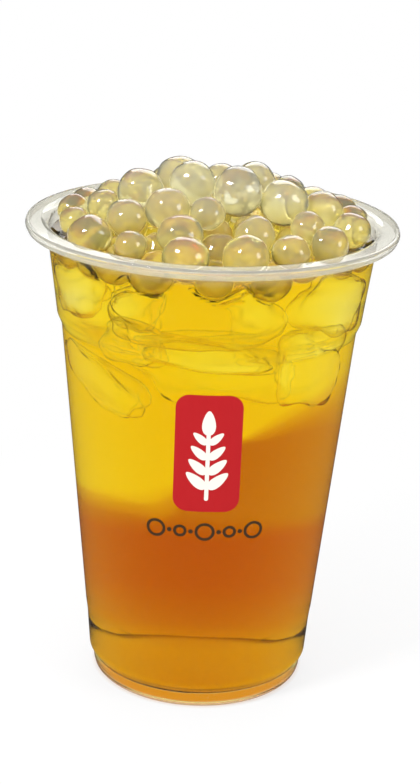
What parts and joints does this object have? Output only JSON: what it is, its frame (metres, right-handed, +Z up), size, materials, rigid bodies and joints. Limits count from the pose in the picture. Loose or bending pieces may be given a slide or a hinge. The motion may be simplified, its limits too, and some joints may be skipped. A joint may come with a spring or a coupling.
{
  "type": "bubble tea",
  "caption": "Clear plastic takeaway cup filled to the brim with iced tea in a yellow and an amber layer, with a heap of white pearls standing above its rolled rim.",
  "frame": {"origin": "centre of the foot ring's resting plane", "axes": "+Z up the cup's axis, -Y towards the printed front, +X to the right seen from the front"},
  "size_m": [0.095, 0.0948, 0.1394],
  "materials": {
    "cup_plastic": "clear, glossy",
    "tea_amber": "clear amber tea",
    "tea_yellow": "clear yellow tea",
    "pearl": "wet, translucent white jelly",
    "ice": "cloudy ice",
    "ink_red": "printed ink, satin",
    "ink_white": "printed ink, satin",
    "ink_brown": "printed ink, satin"
  },
  "bodies": {
    "root": {"cup": "cup_plastic", "tea_lower": "tea_amber", "tea_upper": "tea_yellow", "pearl_heap": "pearl"}
  },
  "joints": []
}
